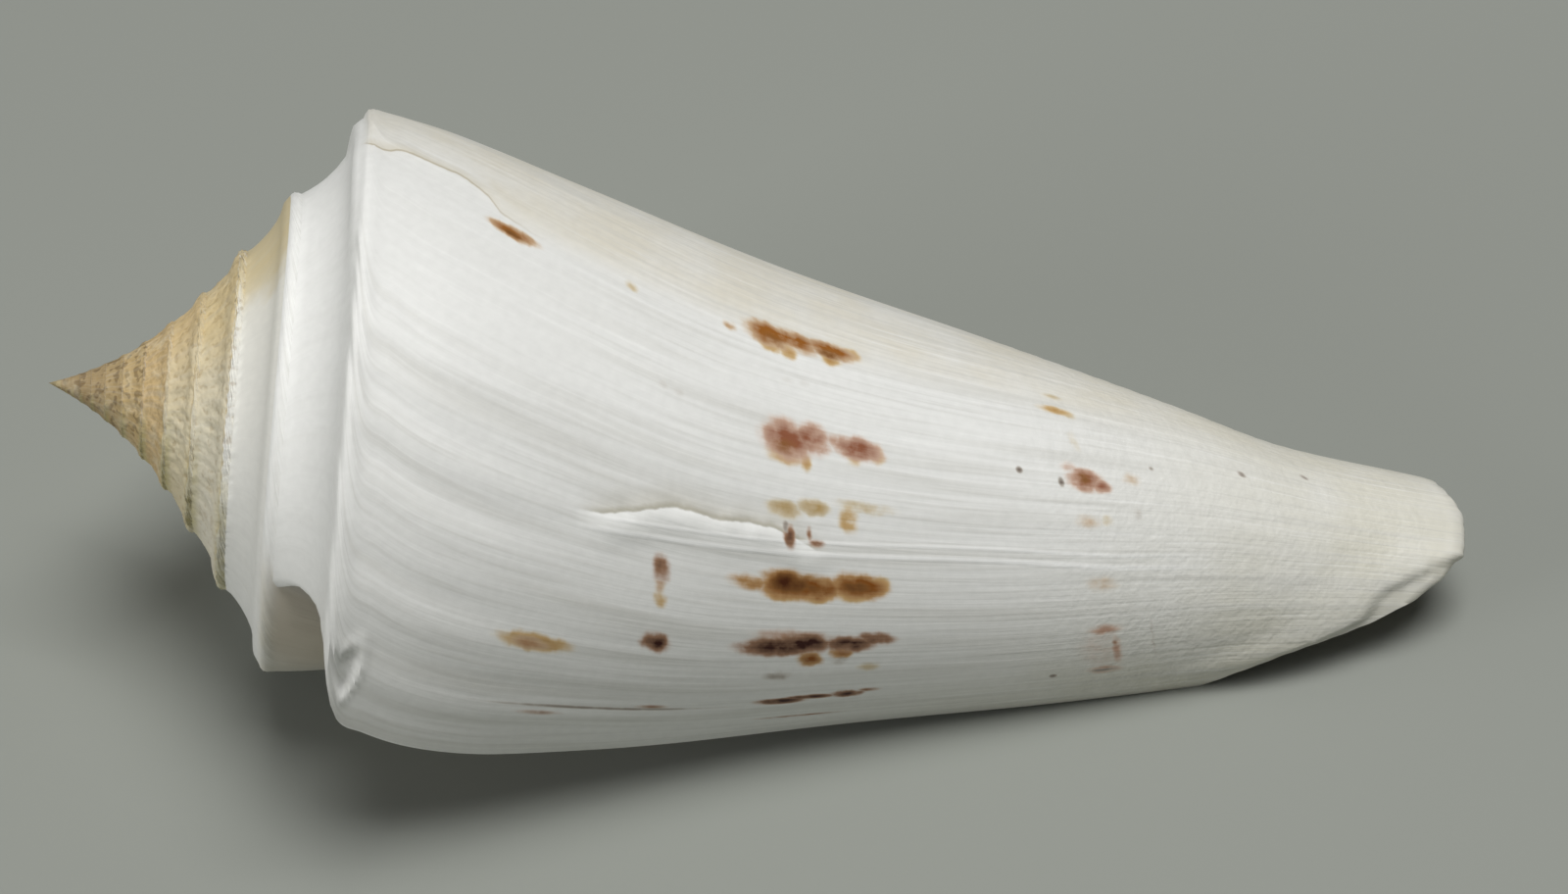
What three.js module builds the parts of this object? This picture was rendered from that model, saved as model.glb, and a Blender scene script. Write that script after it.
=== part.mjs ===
// A cone shell lying on its opening: a tall stepped spire, a sharp shoulder and a long tapering
// last turn, which ends in a thin lip and leaves the opening as a slit along the underside.
// Millimetres, +Z up, the tip of the spire towards -X and the front end towards +X.

import * as THREE from 'three';

// How the shell coils. A turn is counted from the lip: the lip is turn 0 and older growth is negative.
const TURN_GROWTH = 1.42; // each turn is this much larger than the one before it
const SHOULDER_RADIUS = 18.4; // at the lip
const SPIRE_SLOPE = 0.635; // height of the spire for each mm of shoulder radius
const SPIRE_TIP_RISE = 3.85; // extra height of the slender tip
const SPIRE_TIP_RADIUS = 2.07; // shoulder radius over which the tip's extra height comes in
const OLDEST_TURN = -7;

// Radius of the last turn at the lip: drop below the shoulder along the axis, radius.
const BODY_OUTLINE = [
  [0, 18.4], [0.5, 18.7], [1.7, 18.7], [6.1, 18.1], [14.7, 16.0], [27.4, 12.8], [40.0, 10.15],
  [52.5, 7.3], [59.5, 5.65], [68.5, 4.8], [84.5, 3.3], [104.5, 2.1],
];
const LIP_FLARE = 0.03; // share by which the side swells on its way to the lip
const FLARE_TURNS = 0.4; // stretch behind the lip over which it swells
const FLARE_DROP = 10; // drop below the shoulder over which the swelling comes in

// Shape of the lip, which every growth line repeats: drop below the shoulder, degrees ahead of the notch.
const LIP_SWEEP = [
  [0, -3], [1.4, 12], [2.8, 15.5], [5.0, 19], [10.4, 24.5], [22.6, 34.5], [35.0, 37], [50.0, 32],
];
const NOTCH_DEPTH = 3; // degrees that the notch in the ramp goes back behind its two ends

// Front edge: degrees round the axis from the notch, distance from the tip of the spire.
const FRONT_EDGE = [
  [-400, 62.0], [-282, 66.5], [-222, 69.3], [-172, 71.5], [-102, 74.1], [-57, 75.0], [-29, 74.1],
  [-1.3, 71.2], [15.5, 66.4], [33.0, 62.2], [40.0, 61.5],
];
const FRONT_SWEEP = 32; // degrees ahead of the notch at which a growth line meets the front edge
const PILLAR_END = 71.5; // distance of the end of the central pillar from the tip of the spire

const RAMP_HOLLOW = 0.7; // how far the ramp between suture and shoulder sags, at the lip
const SUTURE_DROP = 1.4; // the next turn joins this far below the shoulder
const WALL = 1.1; // thickness of the last turn
const LIP_EDGE = 0.55; // thickness at the lip
const THINNING_TURNS = 0.15; // stretch behind the lip over which the wall thins
const OPENING_TURNS = 0.6; // how far the opening reaches back into the shell

// How it lies, in degrees: turned about its own axis, then the spire lifted.
const REST_ROLL = 176.27;
const REST_PITCH = 11.7;

// Mesh rows and columns.
const COLUMNS_PER_TURN = 60;
const RAMP_SHARES = [0, 0.3, 0.65, 1]; // rows from the suture to the shoulder
const RIDGE_DROPS = [0.5]; // rows from the shoulder to the next suture
const BODY_ROWS = 16; // rows from the next suture to the front edge
const ROW_CROWDING = 0.4; // share by which body rows crowd towards the shoulder
const NORMAL_STEP = 0.01; // part of a turn over which the direction of the wall is taken

const SUTURE_ROW = RAMP_SHARES.length + RIDGE_DROPS.length;
const LAST_ROW = SUTURE_ROW + BODY_ROWS;
const SHELL_COLOUR = '#e6e4dc';

const { degToRad, lerp, smoothstep } = THREE.MathUtils;

// A smooth curve through points, held level before the first and after the last.
function smoothCurve(points) {
  const last = points.length - 1;
  const slopes = points.map((_, i) => {
    const before = points[Math.max(i - 1, 0)];
    const after = points[Math.min(i + 1, last)];
    return (after[1] - before[1]) / (after[0] - before[0]);
  });
  return (x) => {
    if (x <= points[0][0]) return points[0][1];
    if (x >= points[last][0]) return points[last][1];
    const end = points.findIndex((point) => point[0] >= x);
    const [x0, y0] = points[end - 1];
    const [x1, y1] = points[end];
    const width = x1 - x0;
    const s = (x - x0) / width;
    const lead = s * (1 - s) * (1 - s) * width * slopes[end - 1];
    const tail = s * s * (1 - s) * width * slopes[end];
    return lerp(y0, y1, smoothstep(s, 0, 1)) + lead - tail;
  };
}

const bodyRadius = smoothCurve(BODY_OUTLINE);
const lipSweep = smoothCurve(LIP_SWEEP);
const frontEdge = smoothCurve(FRONT_EDGE);

function growth(turn) {
  return TURN_GROWTH ** turn;
}

// Distance of the shoulder from the tip of the spire.
function shoulderDistance(turn) {
  const radius = SHOULDER_RADIUS * growth(turn);
  return SPIRE_TIP_RISE * (1 - Math.exp(-radius / SPIRE_TIP_RADIUS)) + SPIRE_SLOPE * radius;
}

// A point from its distance along the axis, its radius and its angle.
function around(along, radius, degrees) {
  const angle = degToRad(degrees);
  return new THREE.Vector3(along, radius * Math.cos(angle), radius * Math.sin(angle));
}

// A point of the side, drop being measured at the size that the shell has at the lip.
function sidePoint(turn, drop) {
  const size = growth(turn);
  const swelling = smoothstep(turn, -FLARE_TURNS, 0) * smoothstep(drop, 0, FLARE_DROP);
  const radius = size * bodyRadius(drop) * (1 + LIP_FLARE * swelling);
  return around(shoulderDistance(turn) + drop * size, radius, 360 * turn + lipSweep(drop));
}

// A point of the side at a share of the way from the next suture to the front edge.
function bodyPoint(turn, share) {
  const edge = frontEdge(360 * turn + FRONT_SWEEP);
  const longest = (edge - shoulderDistance(turn)) / growth(turn);
  return sidePoint(turn, lerp(SUTURE_DROP, longest, share));
}

// A point of the ramp at a share of the way from the suture to the shoulder.
function rampPoint(turn, share) {
  const suture = sidePoint(turn - 1 - lipSweep(SUTURE_DROP) / 360, SUTURE_DROP);
  const shoulder = sidePoint(turn, 0);
  const bow = 4 * share * (1 - share);
  const sag = RAMP_HOLLOW * growth(turn) * bow;
  const along = lerp(suture.x, shoulder.x, share) + sag;
  const radius = lerp(Math.hypot(suture.y, suture.z), Math.hypot(shoulder.y, shoulder.z), share) - sag;
  const sweep = lipSweep(0) * share * share - NOTCH_DEPTH * bow;
  return around(along, radius, 360 * turn + sweep);
}

// A point of the outside by mesh row.
function outsidePoint(turn, row) {
  if (row < RAMP_SHARES.length) return rampPoint(turn, RAMP_SHARES[row]);
  if (row < SUTURE_ROW) return sidePoint(turn, RIDGE_DROPS[row - RAMP_SHARES.length]);
  const share = (row - SUTURE_ROW) / BODY_ROWS;
  return bodyPoint(turn, share * lerp(1, share, ROW_CROWDING));
}

// A point of the inside: the outside moved in by the thickness of the wall.
function insidePoint(turn, row) {
  const ahead = outsidePoint(turn + NORMAL_STEP, row).sub(outsidePoint(turn - NORMAL_STEP, row));
  const along = outsidePoint(turn, Math.min(row + 1, LAST_ROW)).sub(outsidePoint(turn, row - 1));
  const outward = ahead.cross(along).normalize();
  const thickness = lerp(WALL, LIP_EDGE, smoothstep(turn, -THINNING_TURNS, 0));
  return outsidePoint(turn, row).addScaledVector(outward, -thickness);
}

// The shell as one closed mesh: a strip that winds from the tip to the lip, with the inside of its last part.
function shellGeometry() {
  const positions = [];
  const triangles = [];
  const vertices = new Map();

  // A suture is the same line of vertices as the edge of the turn that it joins, this many columns back.
  const columnsBack = COLUMNS_PER_TURN + Math.round((COLUMNS_PER_TURN * lipSweep(SUTURE_DROP)) / 360);
  const lip = -OLDEST_TURN * COLUMNS_PER_TURN;
  const backOfOpening = lip - Math.round(OPENING_TURNS * COLUMNS_PER_TURN);
  const innermost = backOfOpening - columnsBack;
  const turnOf = (column) => (column - lip) / COLUMNS_PER_TURN;

  const vertex = (name, makePoint) => {
    if (!vertices.has(name)) {
      vertices.set(name, positions.length / 3);
      positions.push(...makePoint().toArray());
    }
    return vertices.get(name);
  };
  const outside = (column, row) => {
    if (row === 0 && column >= columnsBack) return outside(column - columnsBack, SUTURE_ROW);
    return vertex(`outside ${column} ${row}`, () => outsidePoint(turnOf(column), row));
  };
  const inside = (column, row) => {
    if (row === 0) return outside(column - columnsBack, SUTURE_ROW + 1);
    return vertex(`inside ${column} ${row}`, () => insidePoint(turnOf(column), row));
  };
  const quad = (a, b, c, d) => triangles.push(a, b, c, a, c, d);
  const outsideQuad = (column, row) => {
    const ahead = column + 1;
    quad(outside(column, row), outside(ahead, row), outside(ahead, row + 1), outside(column, row + 1));
  };

  // Outside: of a turn that the next one covers, only the ramp shows, and the side where it faces the opening.
  for (let column = 0; column < lip; column += 1) {
    const covered = column < lip - columnsBack;
    for (let row = 0; row < SUTURE_ROW; row += 1) outsideQuad(column, row);
    if (!covered) outsideQuad(column, SUTURE_ROW);
    if (column < innermost) continue;
    for (let row = SUTURE_ROW + 1; row < LAST_ROW; row += 1) outsideQuad(column, row);
  }
  // Inside of the last turn, and its edge along the front.
  for (let column = backOfOpening; column < lip; column += 1) {
    const ahead = column + 1;
    for (let row = 0; row < LAST_ROW; row += 1) {
      quad(inside(column, row), inside(column, row + 1), inside(ahead, row + 1), inside(ahead, row));
    }
    quad(outside(column, LAST_ROW), outside(ahead, LAST_ROW), inside(ahead, LAST_ROW), inside(column, LAST_ROW));
  }
  // Edge of the lip.
  for (let row = 0; row < LAST_ROW; row += 1) {
    quad(outside(lip, row + 1), outside(lip, row), inside(lip, row), inside(lip, row + 1));
  }
  // Back of the opening.
  const back = (row) => inside(backOfOpening, row);
  for (let row = 1; row <= SUTURE_ROW; row += 1) triangles.push(back(row + 1), back(row), back(0));
  for (let row = SUTURE_ROW + 1; row < LAST_ROW; row += 1) {
    quad(back(row + 1), back(row), outside(innermost, row), outside(innermost, row + 1));
  }
  // End of the pillar at the front.
  const pillar = vertex('pillar', () => new THREE.Vector3(PILLAR_END, 0, 0));
  for (let column = innermost; column < backOfOpening; column += 1) {
    triangles.push(outside(column, LAST_ROW), outside(column + 1, LAST_ROW), pillar);
  }
  triangles.push(outside(backOfOpening, LAST_ROW), back(LAST_ROW), pillar);
  triangles.push(back(LAST_ROW), outside(innermost, LAST_ROW), pillar);
  // Tip of the spire.
  const tip = vertex('tip', () => new THREE.Vector3(0, 0, 0));
  for (let column = 0; column < columnsBack; column += 1) {
    triangles.push(outside(column + 1, 0), outside(column, 0), tip);
  }
  for (let row = 0; row < SUTURE_ROW; row += 1) {
    triangles.push(outside(0, row), outside(0, row + 1), tip);
  }

  const geometry = new THREE.BufferGeometry();
  geometry.setAttribute('position', new THREE.Float32BufferAttribute(positions, 3));
  geometry.setIndex(triangles);
  geometry.computeVertexNormals();
  return geometry;
}

const shell = new THREE.Mesh(
  shellGeometry(),
  new THREE.MeshStandardMaterial({ color: SHELL_COLOUR, roughness: 0.5, metalness: 0 }),
);
shell.name = 'shell';
shell.rotation.set(degToRad(REST_ROLL), degToRad(REST_PITCH), 0, 'ZYX');

const part = new THREE.Group();
part.add(shell);

// The part's origin is the middle of its box, on the floor.
const box = new THREE.Box3().setFromObject(part, true);
const middle = box.getCenter(new THREE.Vector3());
shell.position.set(-middle.x, -middle.y, -box.min.z);

export default part;
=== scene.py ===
"""A cone shell that lies on its opening, with its finish and the studio around it. Metres, +Z up."""

import logging
import math
from dataclasses import dataclass
from enum import Enum
from typing import ClassVar

import bpy
import numpy as np
from mathutils import Matrix, Vector, noise


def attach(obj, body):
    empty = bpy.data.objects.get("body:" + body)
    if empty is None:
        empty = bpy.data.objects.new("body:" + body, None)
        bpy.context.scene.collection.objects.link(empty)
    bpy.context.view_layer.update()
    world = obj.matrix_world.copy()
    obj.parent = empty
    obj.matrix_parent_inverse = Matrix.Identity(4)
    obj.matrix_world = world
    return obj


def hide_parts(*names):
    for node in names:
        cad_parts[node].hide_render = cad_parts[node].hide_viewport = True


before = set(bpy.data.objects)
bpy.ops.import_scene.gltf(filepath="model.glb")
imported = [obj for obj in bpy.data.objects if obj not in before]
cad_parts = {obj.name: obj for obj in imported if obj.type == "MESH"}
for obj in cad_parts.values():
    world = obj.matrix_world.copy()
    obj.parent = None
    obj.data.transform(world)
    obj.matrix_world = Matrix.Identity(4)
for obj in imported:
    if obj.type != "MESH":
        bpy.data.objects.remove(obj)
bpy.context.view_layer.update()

LOG = logging.getLogger("cone_shell")
MM = 0.001


def smooth(x: np.ndarray, low: float, high: float) -> np.ndarray:
    """Eases from 0 to 1.

    Args:
        x: Values to ease.
        low: Value that gives 0.
        high: Value that gives 1.

    Returns:
        The eased values.
    """
    s = np.clip((np.asarray(x, float) - low) / (high - low), 0.0, 1.0)
    return s * s * (3.0 - 2.0 * s)


def within(x: np.ndarray, limits: tuple[float, float, float, float]) -> np.ndarray:
    """Eases from 0 up to 1 between the first two limits, and back to 0 between the last two."""
    return smooth(x, *limits[:2]) * (1 - smooth(x, *limits[2:]))


def blend(start: np.ndarray, end: np.ndarray, share: np.ndarray) -> np.ndarray:
    """Gives what lies a share of the way from start to end."""
    return start + (end - start) * share


def unit(vectors: np.ndarray) -> np.ndarray:
    """Gives vectors of length one along the last axis."""
    return vectors / np.maximum(np.linalg.norm(vectors, axis=-1, keepdims=True), 1e-12)


def ripple(values: np.ndarray, seed: float) -> np.ndarray:
    """Gives an irregular wave of about -1 to 1.

    Args:
        values: Places along the wave, one unit to a crest.
        seed: Picks the wave.

    Returns:
        The height of the wave at each place.
    """
    flat, back = np.unique(np.round(np.asarray(values, float), 5), return_inverse=True)
    heights = np.array([noise.noise((v, seed, 0.37)) for v in flat])
    return 1.6 * heights[back].reshape(np.shape(values))


@dataclass(frozen=True)
class SmoothCurve:
    """A smooth curve through points, held level before the first and after the last.

    Attributes:
        points: Pairs of x and y, with x rising.
    """

    points: tuple[tuple[float, float], ...]

    def at(self, x: np.ndarray) -> np.ndarray:
        """Gives the curve's height.

        Args:
            x: Where to read the curve.

        Returns:
            The heights there.
        """
        known = np.array(self.points, float)
        xs, ys = known[:, 0], known[:, 1]
        before = np.maximum(np.arange(len(xs)) - 1, 0)
        after = np.minimum(np.arange(len(xs)) + 1, len(xs) - 1)
        slopes = (ys[after] - ys[before]) / (xs[after] - xs[before])
        x = np.clip(np.asarray(x, float), xs[0], xs[-1])
        end = np.clip(np.searchsorted(xs, x), 1, len(xs) - 1)
        width = xs[end] - xs[end - 1]
        s = (x - xs[end - 1]) / width
        lead = s * (1 - s) ** 2 * width * slopes[end - 1]
        tail = s * s * (1 - s) * width * slopes[end]
        return blend(ys[end - 1], ys[end], s * s * (3 - 2 * s)) + lead - tail


@dataclass(frozen=True)
class Coil:
    """How the shell winds, in mm and degrees. Turn 0 is the lip, and older growth is negative."""

    turn_growth: float = 1.42
    shoulder_radius: float = 18.4
    spire_slope: float = 0.635
    tip_rise: float = 3.85
    tip_radius: float = 2.07
    body_outline: SmoothCurve = SmoothCurve((
        (0, 18.4), (0.5, 18.7), (1.7, 18.7), (6.1, 18.1), (14.7, 16.0), (27.4, 12.8), (40.0, 10.15),
        (52.5, 7.3), (59.5, 5.65), (68.5, 4.8), (84.5, 3.3), (104.5, 2.1),
    ))
    lip_flare: float = 0.03
    flare_turns: float = 0.4
    flare_drop: float = 10.0
    lip_sweep: SmoothCurve = SmoothCurve((
        (0, -3), (1.4, 12), (2.8, 15.5), (5.0, 19), (10.4, 24.5), (22.6, 34.5), (35.0, 37), (50.0, 32),
    ))
    notch_depth: float = 3.0
    notch_skew: float = 0.75
    front_edge: SmoothCurve = SmoothCurve((
        (-400, 62.0), (-282, 66.5), (-222, 69.3), (-172, 71.5), (-102, 74.1), (-57, 75.0), (-29, 74.1),
        (-1.3, 71.2), (15.5, 66.4), (33.0, 62.2), (40.0, 61.5),
    ))
    front_sweep: float = 32.0
    front_raggedness: float = 0.1
    pillar_end: float = 71.5
    shoulder_rounding: SmoothCurve = SmoothCurve(((-1.0, 0.25), (-0.45, 0.45), (-0.3, 0.45), (-0.26, 0.3)))
    rounding_drop: float = 1.4
    shoulder_fullness: SmoothCurve = SmoothCurve(((-1.0, 0.25), (-0.45, 0.45), (-0.25, 0.45), (-0.16, 0.1)))
    fullness_share: float = 0.86
    fullness_width: float = 0.1
    ramp_hollow: SmoothCurve = SmoothCurve((
        (-3.5, 0.36), (-2.2, 0.36), (-1.2, 0.32), (-0.45, 0.46), (-0.25, 0.46), (0, 0.58),
    ))
    suture_drop: float = 1.4
    wall: float = 1.1
    lip_edge: float = 0.55
    notch_edge: float = 0.2
    thinning_turns: float = 0.15
    roll: float = 176.27
    pitch: float = 11.7
    tip_place: tuple[float, float, float] = (-37.134, 1.490, 16.919)

    def size(self, turn: np.ndarray) -> np.ndarray:
        """Gives the size of the shell at a turn, against its size at the lip."""
        return self.turn_growth ** np.asarray(turn, float)

    def suture_back(self) -> float:
        """Gives how many turns back the older turn lies that a suture joins."""
        return 1.0 + float(self.lip_sweep.at(self.suture_drop)) / 360.0

    def shoulder(self, turn: np.ndarray) -> np.ndarray:
        """Gives the distance of the shoulder from the tip of the spire."""
        radius = self.shoulder_radius * self.size(turn)
        return self.tip_rise * (1 - np.exp(-radius / self.tip_radius)) + self.spire_slope * radius

    def girth(self, turn: np.ndarray, drop: np.ndarray) -> np.ndarray:
        """Gives the length of one turn round the side, in mm."""
        return 2 * math.pi * self.size(turn) * self.body_outline.at(drop)

    def longest(self, turn: np.ndarray) -> np.ndarray:
        """Gives the drop at which the front edge cuts the side."""
        edge = self.front_edge.at(360 * np.asarray(turn) + self.front_sweep)
        edge = edge + self.front_raggedness * ripple(60.0 * np.asarray(turn, float), 5.1)
        return (edge - self.shoulder(turn)) / self.size(turn)

    @staticmethod
    def around(along: np.ndarray, radius: np.ndarray, degrees: np.ndarray) -> np.ndarray:
        """Gives points from their distance along the axis, their radius and their angle."""
        along, radius, degrees = np.broadcast_arrays(along, radius, degrees)
        angle = np.radians(degrees)
        return np.stack([along, radius * np.cos(angle), radius * np.sin(angle)], axis=-1)

    def side(self, turn: np.ndarray, drop: np.ndarray) -> np.ndarray:
        """Gives points of the smooth side.

        Args:
            turn: Age of the points, in turns.
            drop: Distance below the shoulder along the axis, at the size the shell has at the lip.

        Returns:
            Points in the shell's own frame, in mm.
        """
        turn = np.asarray(turn, float)
        size = self.size(turn)
        swelling = smooth(turn, -self.flare_turns, 0) * smooth(drop, 0, self.flare_drop)
        near = np.clip(1 - np.asarray(drop) / self.rounding_drop, 0, 1)
        rounded = size * self.shoulder_rounding.at(turn) * near ** 2
        radius = size * self.body_outline.at(drop) * (1 + self.lip_flare * swelling) - rounded
        along = self.shoulder(turn) + drop * size + rounded
        return self.around(along, radius, 360 * turn + self.lip_sweep.at(drop))

    def ramp(self, turn: np.ndarray, share: np.ndarray) -> np.ndarray:
        """Gives points of the smooth ramp.

        Args:
            turn: Age of the points, in turns.
            share: Share of the way from the suture to the shoulder.

        Returns:
            Points in the shell's own frame, in mm.
        """
        turn, share = np.broadcast_arrays(np.asarray(turn, float), np.asarray(share, float))
        suture = self.side(turn - self.suture_back(), self.suture_drop)
        shoulder = self.side(turn, 0.0)
        sag = self.ramp_hollow.at(turn) * self.size(turn) * 4 * share * (1 - share)
        near = np.exp(-(((share - self.fullness_share) / self.fullness_width) ** 2))
        full = self.shoulder_fullness.at(turn) * self.size(turn) * near
        along = blend(suture[..., 0], shoulder[..., 0], share) + sag - 0.8 * full
        inner, outer = (np.hypot(p[..., 1], p[..., 2]) for p in (suture, shoulder))
        skewed = share ** self.notch_skew
        sweep = float(self.lip_sweep.at(0.0)) * share * share - self.notch_depth * 4 * skewed * (1 - skewed)
        return self.around(along, blend(inner, outer, share) - sag + 0.5 * full, 360 * turn + sweep)

    def outward(self, surface: str, turn: np.ndarray, across: np.ndarray, step: float) -> np.ndarray:
        """Gives the direction that the smooth outside faces.

        Args:
            surface: Name of the method that gives the surface, side or ramp.
            turn: Age of the points, in turns.
            across: Drop or share of the points.
            step: Distance in drop or share over which the direction is taken.

        Returns:
            Directions of length one.
        """
        points = getattr(self, surface)
        ahead = points(turn + 0.004, across) - points(turn - 0.004, across)
        down = points(turn, across + step) - points(turn, across - step)
        return unit(np.cross(ahead, down))

    def placed(self, points: np.ndarray) -> np.ndarray:
        """Turns points from the shell's own frame to where it lies, in metres."""
        rolled = Matrix.Rotation(math.radians(self.roll), 3, "X")
        turned = Matrix.Rotation(math.radians(self.pitch), 3, "Y") @ rolled
        return (points @ np.array(turned).T + np.array(self.tip_place)) * MM


@dataclass(frozen=True)
class GrowthFold:
    """A fold along a growth line, where growth paused.

    Attributes:
        turn: Age of the fold.
        height: Height of its crest in mm, negative for a groove.
        width: Half width in turns.
        reach: Drop at which it has faded, in mm.
    """

    turn: float
    height: float
    width: float
    reach: float


@dataclass(frozen=True)
class Relief:
    """What stands proud of the smooth outside or is sunk into it, in mm."""

    folds: tuple[GrowthFold, ...] = (
        GrowthFold(-0.315, 0.10, 0.006, 16), GrowthFold(-0.171, -0.13, 0.007, 14),
        GrowthFold(-0.158, 0.08, 0.006, 15), GrowthFold(-0.141, -0.12, 0.007, 16),
        GrowthFold(-0.126, 0.08, 0.007, 16), GrowthFold(-0.094, -0.10, 0.008, 14),
        GrowthFold(-0.080, 0.08, 0.008, 16), GrowthFold(-0.056, -0.08, 0.008, 22),
        GrowthFold(-0.038, 0.07, 0.006, 30), GrowthFold(-0.199, 0.07, 0.005, 12),
        GrowthFold(-0.188, -0.07, 0.005, 13), GrowthFold(-0.179, 0.06, 0.005, 12),
    )
    scar_turn: SmoothCurve = SmoothCurve((
        (13.3, -0.1584), (16.0, -0.1659), (17.7, -0.1741), (19.2, -0.1771), (21.5, -0.1764),
        (24.2, -0.1779), (26.4, -0.1674),
    ))
    scar_height: float = 0.24
    scar_drops: tuple[float, float, float, float] = (13, 15.5, 26, 27.5)
    scar_rise: tuple[float, float] = (-0.25, 0.25)
    scar_fall: tuple[float, float] = (0.5, 2.2)
    scar_rag: float = 0.25
    scar_rags_per_mm: float = 1.1
    seam_turn: SmoothCurve = SmoothCurve((
        (13.4, -0.1509), (19.3, -0.1584), (26.4, -0.1636), (35.8, -0.1674), (44.0, -0.1600),
    ))
    former_lip_turn: SmoothCurve = SmoothCurve((
        (0, -0.268), (0.4, -0.276), (1.15, -0.2966), (2.4, -0.3107), (3.5, -0.3152), (6.4, -0.3185),
        (7.0, -0.3159), (7.85, -0.3114), (8.7, -0.304), (11.4, -0.3015), (20, -0.308),
    ))
    former_lip_height: float = 0.06
    former_lip_drops: tuple[float, float, float, float] = (0.8, 2.5, 12, 22)
    former_lip_step: tuple[float, float, float, float] = (-0.5, 0.2, 0.4, 6)
    front_step_drop: SmoothCurve = SmoothCurve((
        (-0.23, 67.0), (-0.195, 63.9), (-0.158, 60.8), (-0.13, 58.5), (-0.091, 56.5), (-0.047, 51.2),
        (-0.02, 47.5),
    ))
    front_step_height: float = 0.28
    front_step_turns: tuple[float, float, float, float] = (-0.24, -0.19, -0.045, -0.02)
    front_step_rise: tuple[float, float, float, float] = (-5, -0.3, -0.3, 0.3)
    pit_turn: float = -0.0285
    pit_drop: float = 1.5
    pit_slant: float = 0.0189
    pit_half_turns: float = 0.0135
    pit_half_drop: float = 1.0
    pit_depth: float = 0.42
    pit_rim: float = 0.1
    pit_wall: tuple[float, float] = (0.5, 1.0)
    pit_shallow: float = 0.45
    pit_far_side: tuple[float, float] = (-0.6, 0.5)
    pit_rim_reach: float = 1.15
    pit_rim_width: float = 0.2
    cord_spacing: float = 1.5
    cord_height: float = 0.015
    cord_drops: tuple[float, float, float, float] = (36, 44, 60, 63)
    cord_end_turns: tuple[float, float] = (-0.03, 0)
    spire_roughness: float = 0.17
    rough_turns: tuple[float, float, float, float] = (-9.5, -7.0, -2.4, -1.0)
    rough_scales: tuple[float, float] = (1.1, 2.6)
    rough_shares: tuple[float, float] = (0.7, 1.0)
    rough_growth: float = 2.2
    shoulder_share: float = 0.4
    shoulder_drops: tuple[float, float] = (0, 2.2)
    wave_heights: tuple[float, float] = (0.04, 0.02)
    waves_per_turn: tuple[float, float] = (45, 110)
    wave_fade_drops: tuple[float, float] = (12, 30)
    wave_faded: float = 0.45
    calm_turns: tuple[float, float, float, float] = (-0.36, -0.30, -0.235, -0.2)
    calm_drops: tuple[float, float] = (9, 20)
    calm_share: float = 0.8
    fold_fade: float = 0.4

    def lines(self, coil: Coil, turn: np.ndarray, drop: np.ndarray) -> tuple[np.ndarray, ...]:
        """Gives how far points lie past the lines that growth left on the side.

        Args:
            coil: The winding of the shell.
            turn: Age of the points, in turns.
            drop: Their distance below the shoulder.

        Returns:
            Distances in mm past the scar, the seam below it, the former lip and the step at the front.
        """
        girth = coil.girth(turn, drop)
        curves = (self.scar_turn, self.seam_turn, self.former_lip_turn)
        past = [(turn - curve.at(drop)) * girth for curve in curves]
        return (*past, (drop - self.front_step_drop.at(turn)) * coil.size(turn))

    def even(self, turn: np.ndarray, drop: np.ndarray) -> np.ndarray:
        """Gives the share of the growth lines that show. Few do on what grew just after the former lip.

        Args:
            turn: Age of the points, in turns.
            drop: Their distance below the shoulder.

        Returns:
            Shares from 0 to 1.
        """
        calm = within(turn, self.calm_turns) * (1 - smooth(drop, *self.calm_drops))
        return 1 - self.calm_share * calm

    def uneven(self, turn: np.ndarray) -> np.ndarray:
        """Gives the small waves that run along every growth line, in mm."""
        (broad, fine), (few, many) = self.wave_heights, self.waves_per_turn
        return broad * ripple(few * turn, 1.7) + fine * ripple(many * turn, 3.3)

    def folded(self, turn: np.ndarray, drop: np.ndarray) -> np.ndarray:
        """Gives the height of the growth folds.

        Args:
            turn: Age of the points, in turns.
            drop: Their distance below the shoulder.

        Returns:
            Heights in mm.
        """
        height = np.zeros(np.broadcast(turn, drop).shape)
        for fold in self.folds:
            crest = np.exp(-(((turn - fold.turn) / fold.width) ** 2))
            faded = smooth(drop, self.fold_fade * fold.reach, fold.reach)
            height = height + fold.height * crest * (1 - faded)
        return height

    def height(self, coil: Coil, turn: np.ndarray, drop: np.ndarray) -> np.ndarray:
        """Gives the relief of the side.

        Args:
            coil: The winding of the shell.
            turn: Age of the points, in turns.
            drop: Their distance below the shoulder.

        Returns:
            Heights above the smooth side, in mm.
        """
        turn, drop = np.broadcast_arrays(np.asarray(turn, float), np.asarray(drop, float))
        size = coil.size(turn)
        below = blend(self.shoulder_share, 1.0, smooth(drop, *self.shoulder_drops))
        fading = blend(1.0, self.wave_faded, smooth(drop, *self.wave_fade_drops))
        waves = self.uneven(turn) * fading * self.even(turn, drop)
        height = (waves + self.folded(turn, drop)) * below
        scar, seam, former_lip, front_step = self.lines(coil, turn, drop)
        rag = self.scar_rag * ripple(self.scar_rags_per_mm * drop, 8.2)
        bank = smooth(scar + rag, *self.scar_rise) * (1 - smooth(scar, *self.scar_fall))
        height = height + self.scar_height * within(drop, self.scar_drops) * bank
        stepped = within(drop, self.former_lip_drops) * within(former_lip, self.former_lip_step)
        height = height - self.former_lip_height * stepped
        raised = within(turn, self.front_step_turns) * within(front_step, self.front_step_rise)
        height = height + self.front_step_height * raised
        below_pit = drop - self.pit_drop
        along = (turn - self.pit_turn + self.pit_slant * below_pit) / self.pit_half_turns
        reach = np.hypot(along, below_pit / self.pit_half_drop)
        far_side = smooth(below_pit / self.pit_half_drop, *self.pit_far_side)
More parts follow.
